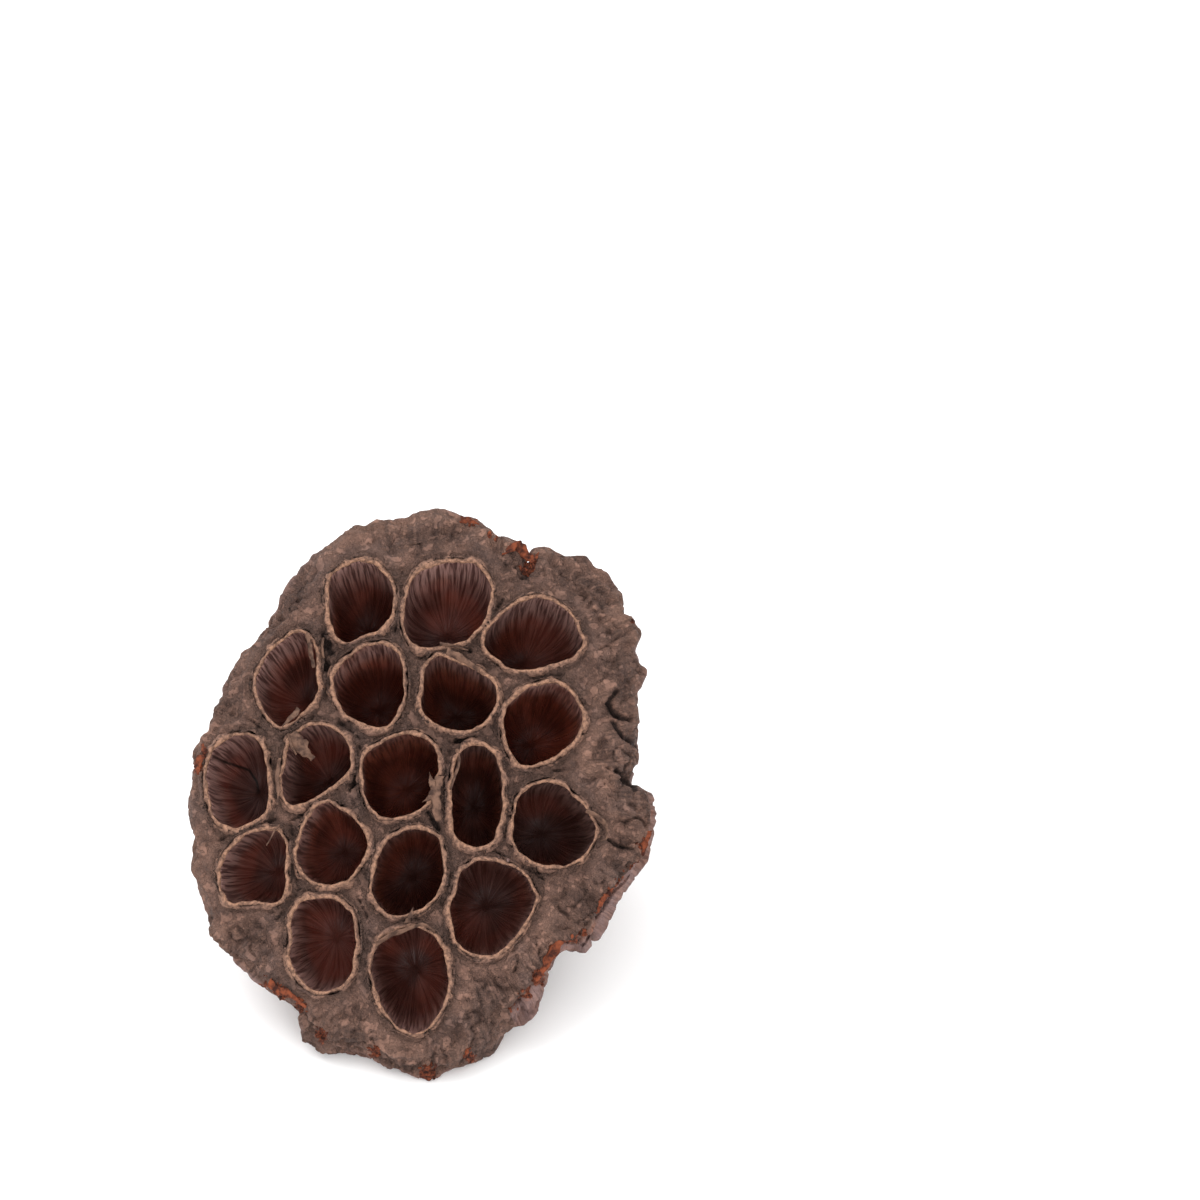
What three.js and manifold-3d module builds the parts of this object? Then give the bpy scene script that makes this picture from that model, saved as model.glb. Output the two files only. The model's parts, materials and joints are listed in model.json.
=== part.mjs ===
// A dried lotus pod, picked and lying on its side: a funnel of spongy tissue with a broad lobed
// face, eighteen open seed chambers with raised papery lips, and the torn stub of its stem.
//
// Millimetres, +Z up. The pod rests on the underside of its rim and on the stub, and its face
// looks forward (-Y) and up. It is shaped in face coordinates first: +X to the right across the
// face, +Y up along it and +Z straight out of it, with the stem's axis through the middle. One
// turn about X then lays it on the surface.

import * as THREE from "three";
import { mergeVertices } from "three/addons/utils/BufferGeometryUtils.js";
import Module from "manifold-3d";

// How the pod lies.
const faceTilt = THREE.MathUtils.degToRad(40);
const faceHeight = 36;

// The body, and the shares of the rim's radius between which its round stub turns into lobes.
const bodyColumns = 72;
const podDepth = 44;
const stubRadius = 4.6;
const roundUntil = 0.1;
const lobedFrom = 0.75;

// The ribs on the wall, below the rim.
const ribCount = 15;
const ribHeight = 0.7;
const ribTop = -2;
const ribSlant = 9;

// Two swellings under the rim that reach the surface beside the rim's lowest point: where they
// are round the stem's axis, in degrees, and their size and place on the wall.
const swellingAngles = [-111, -74];
const swellingReach = 2.6;
const swellingWidth = 0.17;
const swellingLevel = -11;
const swellingLength = 5;

// The seed chambers. Those near the rim are shallower, because the funnel narrows under them.
const chamberColumns = 15;
const chamberDepth = 17.5;
const chamberLean = 0.1;
const shallowest = 0.84;
const deepUntil = 0.45;
const shallowFrom = 0.9;
const cutClearance = 3;

// The lip round each mouth: a ring that is a little wider at its root than at its top.
const lipHeight = 0.7;
const lipRoot = 2;
const lipTopWidth = 0.95;
const lipRootWidth = 1.45;

// Vertices closer than this are one.
const mergeDistance = 1e-4;

// The outline of the rim, anticlockwise from the right, with its lobes and clefts.
const rimOutline = [
  [38, 5.5], [38, 10], [37.5, 14], [37, 18], [38.5, 22.5], [36, 26], [37.5, 29], [34.5, 32],
  [34, 35.5], [29, 40], [25, 42], [20.5, 42], [18.5, 39.5], [17, 43], [12, 44.5], [6, 48.5],
  [1, 48], [-3, 47], [-8, 46], [-14, 44], [-19.5, 40], [-24, 35], [-27.5, 30], [-31, 25],
  [-33, 20], [-36, 16.5], [-37, 10], [-39, 8], [-39.5, 4], [-40, 1], [-39.5, -7], [-38.5, -13],
  [-37, -20], [-34.5, -25], [-31.5, -29], [-28.5, -31], [-25.5, -34.5], [-20.5, -36.5],
  [-19.5, -41.5], [-14.5, -43.5], [-7, -46], [-4.5, -48], [0, -49], [4.5, -48.5], [9, -45.5],
  [12.5, -43], [13.5, -40], [20, -37], [22.5, -31.5], [23.5, -28], [29, -27.5], [33, -23],
  [36, -17], [39, -13], [40.5, -10], [40.5, -2], [39.5, 1], [36, 2],
];

// The outlines of the chambers' mouths, anticlockwise, row by row from the top of the face.
const mouthOutlines = [
  [[-5, 33], [-5.5, 37], [-8.5, 40], [-11, 40.5], [-16, 37.5], [-16, 32], [-15.5, 28.5], [-14, 26],
    [-10, 27.5], [-6, 29.5]],
  [[12, 34.5], [11, 38.5], [9, 40], [3, 40], [-1.5, 37.5], [-2.5, 33], [-3, 29], [-1, 25.5],
    [4.5, 25.5], [8.5, 27], [11, 30]],
  [[28, 26], [26, 30.5], [23.5, 33], [19.5, 34], [15.5, 32], [11, 26.5], [13, 23], [17, 21.5],
    [22, 22], [27, 24]],
  [[-18, 19.5], [-18.5, 23.5], [-19.5, 27], [-21.5, 28], [-28.5, 21], [-28.5, 17], [-26.5, 13],
    [-24, 11], [-21, 13.5], [-18.5, 16.5]],
  [[-3, 18.5], [-3.5, 22.5], [-5, 25], [-7, 26], [-12, 24], [-15, 21], [-15, 17], [-13.5, 14],
    [-7.5, 11], [-4, 13.5]],
  [[13, 16.5], [12, 19.5], [5, 23], [2, 23.5], [0.5, 21], [0.5, 17.5], [0, 14.5], [2.5, 12],
    [7.5, 10.5], [11.5, 12.5]],
  [[28, 12], [27, 16], [23.5, 19], [20, 18.5], [16, 16], [14.5, 12], [15, 8.5], [17, 4.5],
    [21, 5], [25, 7]],
  [[-26.5, 2], [-27, 6.5], [-28.5, 9], [-31.5, 10], [-35, 8], [-37, 5], [-37, 0], [-36, -4],
    [-33.5, -6.5], [-30, -5.5], [-27, -4]],
  [[-12, 5], [-13, 8.5], [-15, 10.5], [-18.5, 11.5], [-22, 9.5], [-23.5, 5], [-24, 0],
    [-22.5, -2.5], [-20, -2], [-16, 0.5], [-13, 2.5]],
  [[3, 3.5], [3, 6.5], [1, 9], [-2, 10], [-6, 8.5], [-9.5, 6.5], [-10, 2], [-9.5, -1.5],
    [-7, -4.5], [-3.5, -4.5], [0.5, -3]],
  [[14, 0], [13.5, 4.5], [12, 7.5], [7.5, 7.5], [6, 4.5], [5.5, 0], [5.5, -4.5], [6.5, -8.5],
    [10, -10], [12.5, -9], [14, -4.5]],
  [[30.5, -6.5], [28, -3], [25, 0.5], [21, 1.5], [17, -1.5], [16.5, -5], [16.5, -9],
    [20, -12.5], [24.5, -13], [28, -11.5]],
  [[-23.5, -12], [-23.5, -8], [-26, -7], [-31, -8.5], [-33.5, -11], [-34.5, -15.5],
    [-32.5, -19.5], [-28, -19], [-24, -19.5]],
  [[-9, -9], [-11.5, -5.5], [-14, -3], [-16, -2], [-18.5, -4], [-20.5, -8], [-21, -12.5],
    [-19, -15.5], [-14, -16], [-11.5, -14.5]],
  [[4, -13.5], [3.5, -9.5], [1.5, -7], [-2.5, -7], [-6, -9], [-7.5, -12.5], [-8, -17.5],
    [-7, -21], [-3.5, -21.5], [0.5, -20.5], [3.5, -17]],
  [[20, -18.5], [18, -15], [13.5, -12.5], [8, -13], [6.5, -17], [5.5, -20.5], [6, -25],
    [8.5, -28], [13, -28.5], [17, -24.5]],
  [[-11, -27], [-12, -21], [-14.5, -19], [-18, -19], [-21.5, -20], [-22, -24.5], [-22, -29.5],
    [-20, -33.5], [-16, -35], [-13, -33.5]],
  [[5, -31.5], [3.5, -27], [1.5, -24.5], [-1.5, -24], [-7, -26.5], [-8, -31], [-7.5, -34.5],
    [-4.5, -40], [-1, -42], [2.5, -40], [4.5, -36]],
];

// The body's section from the stub's end to the middle of the face: how much of the rim's
// outline each level takes, and its height over the face.
const bodyProfile = [
  [0, -podDepth], [0.1, -podDepth], [0.11, -41.5], [0.18, -38], [0.32, -33], [0.44, -28],
  [0.56, -24], [0.71, -20], [0.85, -16], [0.955, -12], [1, -8], [1, -5], [0.975, -2.4],
  [0.93, -1], [0.8, -0.2], [0, 0],
];

// A chamber's section from its bottom to over its mouth: how much of the mouth's outline each
// level takes, and how far down the chamber it is.
const chamberProfile = [
  [0, 1], [0.42, 0.96], [0.72, 0.84], [0.92, 0.64], [1.02, 0.35], [1.02, 0.1],
];

const wasm = await Module();
wasm.setup();

// A closed curve through the points of an outline, read at evenly spaced steps.
function evenPoints(outline, count) {
  const corners = outline.map(([x, y]) => new THREE.Vector3(x, y, 0));
  const curve = new THREE.CatmullRomCurve3(corners, true, "centripetal");
  return curve.getSpacedPoints(count).slice(0, count);
}

// A lathe form whose vertices are put in place one by one, by their column and row.
function shapedLathe(rows, columns, place) {
  const profile = rows.map(([radius], row) => new THREE.Vector2(radius, row));
  const geometry = new THREE.LatheGeometry(profile, columns);
  const position = geometry.attributes.position;
  const vertex = new THREE.Vector3();
  for (let index = 0; index < position.count; index += 1) {
    const column = Math.floor(index / rows.length) % columns;
    place(vertex, column, rows[index % rows.length]);
    position.setXYZ(index, vertex.x, vertex.y, vertex.z);
  }
  return geometry;
}

// A geometry as a solid: shared vertices are merged, and the flat triangles at its poles go.
function toSolid(geometry) {
  const bare = geometry.clone();
  bare.deleteAttribute("normal");
  bare.deleteAttribute("uv");
  const merged = mergeVertices(bare, mergeDistance);
  const kept = [];
  const corners = merged.index.array;
  for (let start = 0; start < corners.length; start += 3) {
    const [a, b, c] = corners.slice(start, start + 3);
    if (a !== b && b !== c && c !== a) {
      kept.push(a, b, c);
    }
  }
  return new wasm.Manifold(new wasm.Mesh({
    numProp: 3,
    vertProperties: merged.attributes.position.array,
    triVerts: new Uint32Array(kept),
  }));
}

// A solid as a geometry with flat-shaded faces.
function toGeometry(solid) {
  const mesh = solid.getMesh();
  const geometry = new THREE.BufferGeometry();
  geometry.setAttribute("position", new THREE.BufferAttribute(mesh.vertProperties, 3));
  geometry.setIndex(new THREE.BufferAttribute(mesh.triVerts, 1));
  const faceted = geometry.toNonIndexed();
  faceted.computeVertexNormals();
  return faceted;
}

// Lays a form that was shaped in face coordinates on the surface it rests on.
function layDown(geometry) {
  return geometry.rotateX(faceTilt).translate(0, 0, faceHeight);
}

const rimPoints = evenPoints(rimOutline, bodyColumns);

// The turn from one angle to another, the short way round.
function turnBetween(from, to) {
  return Math.atan2(Math.sin(to - from), Math.cos(to - from));
}

// How far a point of the face is from the stem's axis, as a share of the rim's radius there.
function shareOfRim(x, y) {
  const angle = Math.atan2(y, x);
  let nearest = rimPoints[0];
  let smallest = Infinity;
  for (const point of rimPoints) {
    const gap = Math.abs(turnBetween(Math.atan2(point.y, point.x), angle));
    if (gap < smallest) {
      smallest = gap;
      nearest = point;
    }
  }
  return Math.hypot(x, y) / Math.hypot(nearest.x, nearest.y);
}

// The height of the bare face at a point, read from the body's section.
function faceLevel(x, y) {
  const share = shareOfRim(x, y);
  for (let row = bodyProfile.length - 1; row > 0; row -= 1) {
    const [innerShare, innerLevel] = bodyProfile[row];
    const [outerShare, outerLevel] = bodyProfile[row - 1];
    if (share <= outerShare) {
      return THREE.MathUtils.mapLinear(share, innerShare, outerShare, innerLevel, outerLevel);
    }
  }
  return 0;
}

// How far the ribs and the swellings stand out of the wall at an angle and a level.
function wallRelief(angle, level) {
  const onWall = Math.sin(Math.PI * THREE.MathUtils.clamp(-level / podDepth, 0, 1));
  let relief = ribHeight * onWall * Math.cos(ribCount * angle + level / ribSlant);
  for (const degrees of swellingAngles) {
    const across = turnBetween(THREE.MathUtils.degToRad(degrees), angle) / swellingWidth;
    const down = (level - swellingLevel) / swellingLength;
    relief += swellingReach * Math.exp(-across * across - down * down);
  }
  return relief;
}

// The outer form. The rim's lobes fade into the round stub, and what lies under the surface that
// the pod rests on is pressed flat.
function makeBody() {
  const meanRadius = stubRadius / bodyProfile[1][0];

  function placeOnBody(vertex, column, [share, level]) {
    const rim = rimPoints[column];
    const angle = Math.atan2(rim.y, rim.x);
    const lobed = THREE.MathUtils.smoothstep(share, roundUntil, lobedFrom);
    const rimRadius = Math.hypot(rim.x, rim.y);
    let radius = share * THREE.MathUtils.lerp(meanRadius, rimRadius, lobed);
    if (level < ribTop && share > 0) {
      radius += wallRelief(angle, level);
    }
    vertex.set(radius * Math.cos(angle), radius * Math.sin(angle), level);
  }

  const body = layDown(shapedLathe(bodyProfile, bodyColumns, placeOnBody));
  const position = body.attributes.position;
  for (let index = 0; index < position.count; index += 1) {
    position.setZ(index, Math.max(position.getZ(index), 0));
  }
  return toSolid(body);
}

// One chamber and its lip, from the outline of its mouth.
function makeChamber(outline) {
  const mouth = evenPoints(outline, chamberColumns);
  const middle = new THREE.Vector3();
  for (const point of mouth) {
    middle.addScaledVector(point, 1 / mouth.length);
  }
  const share = shareOfRim(middle.x, middle.y);
  const narrowing = THREE.MathUtils.smoothstep(share, deepUntil, shallowFrom);
  const depth = chamberDepth * THREE.MathUtils.lerp(1, shallowest, narrowing);

  // The hollow leans towards the stem's axis as it goes down.
  function placeInHollow(vertex, column, [width, down]) {
    const lean = 1 - chamberLean * Math.max(down, 0);
    vertex.copy(mouth[column]).sub(middle).multiplyScalar(width);
    vertex.addScaledVector(middle, lean);
    vertex.z = -down * depth;
  }

  // A lip row is a ring at a distance outside the mouth, or the point in the mouth's middle.
  function placeOnLip(vertex, column, [isRing, outwards, upwards]) {
    const point = mouth[column];
    const growth = isRing * (1 + outwards / point.distanceTo(middle));
    vertex.copy(point).sub(middle).multiplyScalar(growth).add(middle);
    vertex.z = isRing * faceLevel(point.x, point.y) + upwards;
  }

  const overMouth = -cutClearance / depth;
  const hollowRows = [...chamberProfile, [1, overMouth], [0, overMouth]];
  const lipRows = [
    [0, 0, -lipRoot], [1, lipRootWidth, -lipRoot], [1, lipTopWidth, lipHeight],
    [0, 0, lipHeight],
  ];
  return {
    hollow: toSolid(layDown(shapedLathe(hollowRows, chamberColumns, placeInHollow))),
    lip: toSolid(layDown(shapedLathe(lipRows, chamberColumns, placeOnLip))),
  };
}

const chambers = mouthOutlines.map(makeChamber);
let podSolid = makeBody();
for (const { lip } of chambers) {
  podSolid = podSolid.add(lip);
}
for (const { hollow } of chambers) {
  podSolid = podSolid.subtract(hollow);
}

const podMaterial = new THREE.MeshStandardMaterial({
  color: new THREE.Color("#6b554c"),
  roughness: 0.85,
  metalness: 0,
});
const podMesh = new THREE.Mesh(toGeometry(podSolid), podMaterial);
podMesh.name = "lotus_pod";

// The origin is under the middle of the pod, on the surface that it rests on.
podMesh.geometry.computeBoundingBox();
const podMiddle = podMesh.geometry.boundingBox.getCenter(new THREE.Vector3());
podMesh.position.set(-podMiddle.x, -podMiddle.y, 0);

const lotusPod = new THREE.Group();
lotusPod.add(podMesh);

export default lotusPod;
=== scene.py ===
# %% [markdown]
# # A dried lotus pod
#
# A lotus pod is the seed head of the lotus flower: a funnel of spongy tissue that dries to
# grey-brown, with a broad face full of chambers. Each chamber held one seed, and has a thin
# papery lining that ends in a raised, pale lip round its mouth. Outside, long folds run from
# the stem to the rim.
#
# The CAD model gives the true size and form. This script keeps that form and adds what a plain
# solid can't show: the linings, the wrinkles and folds, the torn places and the dry finishes.

import json
import math

import bmesh
import bpy
import numpy as np
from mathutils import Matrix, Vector, noise
from mathutils.bvhtree import BVHTree

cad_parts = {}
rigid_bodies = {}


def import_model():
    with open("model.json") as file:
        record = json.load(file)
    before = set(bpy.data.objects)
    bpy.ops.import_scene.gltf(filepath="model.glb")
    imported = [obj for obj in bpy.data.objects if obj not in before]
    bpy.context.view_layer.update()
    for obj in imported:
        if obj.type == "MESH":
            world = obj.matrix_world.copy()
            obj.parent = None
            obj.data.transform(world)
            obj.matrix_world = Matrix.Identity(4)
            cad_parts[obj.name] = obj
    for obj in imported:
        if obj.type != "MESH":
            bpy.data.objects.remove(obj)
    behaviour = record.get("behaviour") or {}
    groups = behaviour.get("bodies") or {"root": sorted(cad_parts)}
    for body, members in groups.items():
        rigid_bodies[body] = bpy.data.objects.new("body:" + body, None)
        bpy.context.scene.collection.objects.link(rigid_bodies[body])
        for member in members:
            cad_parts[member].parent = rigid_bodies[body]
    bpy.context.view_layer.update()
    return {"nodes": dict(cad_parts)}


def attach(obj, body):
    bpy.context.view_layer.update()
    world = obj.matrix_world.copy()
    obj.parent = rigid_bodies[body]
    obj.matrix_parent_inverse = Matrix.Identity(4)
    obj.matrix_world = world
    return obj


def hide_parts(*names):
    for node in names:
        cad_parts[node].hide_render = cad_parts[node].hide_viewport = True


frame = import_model()
pod_node = frame["nodes"]["lotus_pod"]
MM = 0.001

# %% [markdown]
# ## Working in face coordinates
#
# The pod lies on its side, so its face is a tilted plane. Everything on it is easier to place
# in coordinates that lie along the face: right, up along the face, and straight out of it, in
# millimetres from the point where the stem's axis meets the face. The tip of the stub's end is
# on that axis, and it tells where the axis is.

# %% Face coordinates
FACE_TILT = math.radians(40)
POD_DEPTH = 44.0
ACROSS = np.array([1.0, 0.0, 0.0])
ALONG = np.array([0.0, math.cos(FACE_TILT), math.sin(FACE_TILT)])
OUT = np.array([0.0, -math.sin(FACE_TILT), math.cos(FACE_TILT)])
FACE_AXES = np.stack([ACROSS, ALONG, OUT], axis=1)


def vertices_of(mesh):
    """The mesh's vertices as rows of x, y and z in metres."""
    points = np.empty(len(mesh.vertices) * 3)
    mesh.vertices.foreach_get("co", points)
    return points.reshape(-1, 3)


def put_vertices(mesh, points):
    """Moves the mesh's vertices to the given rows."""
    mesh.vertices.foreach_set("co", points.ravel())
    mesh.update()


def stem_foot():
    """The point where the stem's axis meets the face, in metres."""
    points = vertices_of(pod_node.data)
    heights = points @ OUT
    end = points[heights < heights.min() + 0.05 * MM]
    middle = end[np.argmin(np.linalg.norm(end - np.median(end, axis=0), axis=1))]
    return middle + OUT * POD_DEPTH * MM


FACE_ORIGIN = stem_foot()


def to_face(points):
    """Points of the row frame, in metres, as face coordinates in millimetres."""
    return (points - FACE_ORIGIN) @ FACE_AXES / MM


def from_face(points):
    """Face coordinates in millimetres as points of the row frame in metres."""
    return points * MM @ FACE_AXES.T + FACE_ORIGIN


print("The stem's axis meets the face at", (FACE_ORIGIN / MM).round(2), "mm")

# %% [markdown]
# ## Camera, floor and light
#
# The camera comes first, so that every later step can be looked at. It stands in front of the
# pod and looks down on it, a little under the face's own direction, through a long lens that
# keeps the proportions. The floor is plain and pale, and a pale world with a large soft lamp
# above and behind, and a second one in front, gives the soft light of a white studio table.

# %% Camera
CAMERA_ELEVATION = math.radians(39.7)
CAMERA_DISTANCE = 804.6
POD_OFFSET = (-31.0, -32.8)

camera_data = bpy.data.cameras.new("camera")
camera_data.lens = 140
camera_data.sensor_width = 36
camera_data.clip_start = 0.01
camera = bpy.data.objects.new("camera", camera_data)
bpy.context.scene.collection.objects.link(camera)
camera.rotation_euler = (math.pi / 2 - CAMERA_ELEVATION, 0, 0)
view_up = np.array([0, math.sin(CAMERA_ELEVATION), math.cos(CAMERA_ELEVATION)])
view_back = np.array([0, -math.cos(CAMERA_ELEVATION), math.sin(CAMERA_ELEVATION)])
aim = FACE_ORIGIN - POD_OFFSET[0] * MM * ACROSS - POD_OFFSET[1] * MM * view_up
camera.location = aim + view_back * CAMERA_DISTANCE * MM
bpy.context.scene.camera = camera
print("camera at", [round(value, 3) for value in camera.location])

# %% Floor and lights
FLOOR_SIZE = 6.0


def deselect_all():
    """Nothing stays selected, so that the next operator acts only on its own piece."""
    if bpy.context.object and bpy.context.object.mode != "OBJECT":
        bpy.ops.object.mode_set(mode="OBJECT")
    bpy.ops.object.select_all(action="DESELECT")


def add_lamp(name, place, target, size, power):
    """A square soft lamp in metres and watts that looks at a target."""
    lamp_data = bpy.data.lights.new(name, "AREA")
    lamp_data.size = size
    lamp_data.energy = power
    lamp = bpy.data.objects.new(name, lamp_data)
    bpy.context.scene.collection.objects.link(lamp)
    lamp.location = place
    lamp.rotation_euler = (Vector(target) - Vector(place)).to_track_quat("-Z", "Y").to_euler()


deselect_all()
bpy.ops.mesh.primitive_plane_add(size=FLOOR_SIZE, location=(0, 0, 0))
floor = bpy.context.object
floor.name = "floor"
floor_paint = bpy.data.materials.new("floor_white")
floor_paint.use_nodes = True
floor_shader = floor_paint.node_tree.nodes["Principled BSDF"]
floor_shader.inputs["Base Color"].default_value = (0.93, 0.93, 0.93, 1)
floor_shader.inputs["Roughness"].default_value = 0.9
floor_shader.inputs["Specular IOR Level"].default_value = 0.1
floor.data.materials.append(floor_paint)

world = bpy.data.worlds.new("studio")
world.use_nodes = True
world.node_tree.nodes["Background"].inputs["Color"].default_value = (1, 1, 1, 1)
world.node_tree.nodes["Background"].inputs["Strength"].default_value = 1.36
bpy.context.scene.world = world
add_lamp("key", (-0.35, 0.20, 0.90), (0, 0, 0.03), 0.7, 4.5)
add_lamp("fill", (0.1, -0.9, 0.5), (0, 0, 0.03), 0.7, 4.0)
bpy.context.scene.view_settings.view_transform = "Standard"
print("floor", FLOOR_SIZE, "m wide, two lamps and a pale world")

# %% [markdown]
# ## Finding the chambers
#
# The frame knows where the chambers are: their walls are smooth, and end in a sharp edge at the
# lip. Starting from the faces at each chamber's bottom and stepping over soft edges only, a
# flood fill collects one chamber at a time, and the border of what it collects is the mouth.

# %% Merge a copy of the frame's mesh
def merged_copy(node, name):
    """A copy of a CAD node with its loose triangles joined, as an object of its own."""
    copy = node.copy()
    copy.data = node.data.copy()
    copy.name = copy.data.name = name
    copy.parent = None
    bpy.context.scene.collection.objects.link(copy)
    deselect_all()
    copy.select_set(True)
    bpy.context.view_layer.objects.active = copy
    bpy.ops.object.mode_set(mode="EDIT")
    bpy.ops.mesh.select_all(action="SELECT")
    bpy.ops.mesh.remove_doubles(threshold=1e-6)
    bpy.ops.object.mode_set(mode="OBJECT")
    copy.data.materials.clear()
    return copy


pod_body = merged_copy(pod_node, "pod_body")
print("merged copy:", len(pod_body.data.vertices), "vertices")

# %% Collect the chambers
SOFT_EDGE = math.radians(60)
LIP_ROOT = -3.0
BOTTOM_BELOW = -8.0


def is_lip(face, heights):
    """Whether a face is on the flat top of a lip, where a flood fill has to stop."""
    high = min(heights[vertex.index] for vertex in face.verts) > LIP_ROOT
    return high and face.normal.dot(Vector(OUT)) > 0.4


def collect_chambers(mesh):
    """The chamber that each face belongs to, or -1, and each chamber's mouth as a closed row
    of points and its deepest point, in face coordinates."""
    form = bmesh.new()
    form.from_mesh(mesh)
    out = Vector(OUT)
    heights = to_face(vertices_of(mesh))[:, 2]
    chamber_of = [-1] * len(form.faces)
    chambers = []
    for seed in form.faces:
        deep = max(heights[vertex.index] for vertex in seed.verts) < BOTTOM_BELOW
        if chamber_of[seed.index] >= 0 or not deep or seed.normal.dot(out) < 0.7:
            continue
        number = len(chambers)
        chamber_of[seed.index] = number
        waiting, collected = [seed], []
        while waiting:
            face = waiting.pop()
            collected.append(face)
            for edge in face.edges:
                if edge.calc_face_angle(math.pi) > SOFT_EDGE:
                    continue
                for neighbour in edge.link_faces:
                    if chamber_of[neighbour.index] < 0 and not is_lip(neighbour, heights):
                        chamber_of[neighbour.index] = number
                        waiting.append(neighbour)
        chambers.append((walk_border(collected), deepest(collected)))
    form.free()
    return chamber_of, chambers


def walk_border(faces):
    """The longest border of a patch of faces, as a closed row of points in face coordinates."""
    inside = set(faces)
    following = {}
    for face in faces:
        for loop in face.loops:
            if not all(neighbour in inside for neighbour in loop.edge.link_faces):
                following[loop.vert] = loop.link_loop_next.vert
    rows = []
    while following:
        vertex = next(iter(following))
        row = []
        while vertex in following:
            row.append(vertex.co)
            vertex = following.pop(vertex)
        rows.append(row)
    return to_face(np.array(max(rows, key=len)))


def deepest(faces):
    """The lowest point of a patch, in face coordinates."""
    points = to_face(np.array([vertex.co for face in faces for vertex in face.verts]))
    return points[np.argmin(points[:, 2])]


chamber_of_face, found = collect_chambers(pod_body.data)
print(len(found), "chambers, with", [len(mouth) for mouth, bottom in found], "points")

# %% Smooth outlines of the mouths
OUTLINE_STEPS = 144
CORNER_ROUNDING = 1.1


def even_steps(row, count):
    """A closed row of points, read again at evenly spaced steps."""
    closed = np.vstack([row, row[:1]])
    lengths = np.linalg.norm(np.diff(closed, axis=0), axis=1)
    travelled = np.concatenate([[0], np.cumsum(lengths)])
    wanted = np.linspace(0, travelled[-1], count, endpoint=False)
    return np.stack([np.interp(wanted, travelled, closed[:, axis]) for axis in range(3)], axis=1)


def rounded(row, reach):
    """A closed, evenly spaced row with its corners rounded over a reach in millimetres."""
    step = np.linalg.norm(row[1] - row[0])
    count = len(row)
    offsets = np.minimum(np.arange(count), count - np.arange(count)) * step
    weights = np.exp(-0.5 * (offsets / reach) ** 2)
    spectrum = np.fft.fft(weights / weights.sum())[:, None]
    return np.fft.ifft(np.fft.fft(row, axis=0) * spectrum, axis=0).real


def outline_of(border):
    """A mouth's smooth outline, anticlockwise, starting at its right."""
    row = rounded(even_steps(border, OUTLINE_STEPS), CORNER_ROUNDING * 0.7)
    size_before = np.ptp(even_steps(border, OUTLINE_STEPS), axis=0)[:2]
    middle = row.mean(axis=0)
    row[:, :2] = middle[:2] + (row[:, :2] - middle[:2]) * size_before / np.ptp(row, axis=0)[:2]
    x, y = (row - middle)[:, 0], (row - middle)[:, 1]
    if np.sum(x * np.roll(y, -1) - np.roll(x, -1) * y) < 0:
        row = row[::-1]
    return np.roll(row, -np.argmax(row[:, 0]), axis=0)


mouths = [outline_of(border) for border, bottom in found]
bottoms = [bottom for border, bottom in found]
for mouth, bottom in zip(mouths, bottoms):
    print("mouth at", mouth.mean(axis=0).round(1), "size", np.ptp(mouth, axis=0)[:2].round(1),
          "bottom", bottom.round(1))

# %% [markdown]
# ## The pod's body
#
# The tissue of the pod dries into a wrinkled skin: sunken valleys between the chambers, a thick
# crumpled margin, and long folds with sharp creases down the outside. That is sculpting, and it
# needs a fine even mesh, so the frame's own form is remeshed in small voxels. The chambers are
# opened a little wider first, to leave room for the linings, and the walls that the linings hide
# are thinned out again afterwards.

# %% Helpers for sculpting in numbers
def smooth_step(low, high, values):
    """0 under low, 1 over high and an even curve between, also for low over high."""
    share = np.clip((values - low) / (high - low), 0, 1)
    return share * share * (3 - 2 * share)


def soft_noise(points, octaves=1, roughness=0.55):
    """Smooth noise of about -1 to 1 at rows of points, with finer and weaker octaves."""
    total = np.zeros(len(points))
    for octave in range(octaves):
        rows = (points * 2.03 ** octave + 17.3 * octave).tolist()
        total += roughness ** octave * np.fromiter(map(noise.noise, rows), float, len(rows))
    return total


def normals_of(mesh):
    """The mesh's vertex normals as rows, in face axes."""
    normals = np.empty(len(mesh.vertices) * 3)
    mesh.vertex_normals.foreach_get("vector", normals)
    return normals.reshape(-1, 3) @ FACE_AXES


def add_attribute(mesh, name, values):
    """Stores one number or one vector for each vertex, for a material to read."""
    kind, key = ("FLOAT", "value") if values.ndim == 1 else ("FLOAT_VECTOR", "vector")
    attribute = mesh.attributes.new(name, kind, "POINT")
    attribute.data.foreach_set(key, np.ascontiguousarray(values, dtype=np.float32).ravel())


# %% Open the chambers wider
LINING_ROOM = 0.7


def open_chambers(mesh, chamber_of, room):
    """Moves the chambers' walls into the tissue by a room in millimetres."""
    form = bmesh.new()
    form.from_mesh(mesh)
    form.faces.ensure_lookup_table()
    push = {}
    for face, chamber in zip(form.faces, chamber_of):
        if chamber >= 0:
            for vertex in face.verts:
                push[vertex] = push.get(vertex, Vector()) + face.normal * face.calc_area()
    for vertex, normal in push.items():
        vertex.co -= normal.normalized() * room * MM
    form.to_mesh(mesh)
    form.free()


open_chambers(pod_body.data, chamber_of_face, LINING_ROOM)
print("chambers opened by", LINING_ROOM, "mm")

# %% Remesh, then thin out the hidden walls
FINE_VOXEL = 0.4
HIDDEN_BELOW = -4.0
HIDDEN_SHARE = 0.08


def chamber_lookup(mesh, chamber_of):
    """A function that tells, for points in metres, the nearest face's chamber or -1."""
    corners = [vertex.co.copy() for vertex in mesh.vertices]
    tree = BVHTree.FromPolygons(corners, [tuple(face.vertices) for face in mesh.polygons])
    return lambda points: np.array([chamber_of[tree.find_nearest(row)[2]] for row in points.tolist()])


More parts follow.
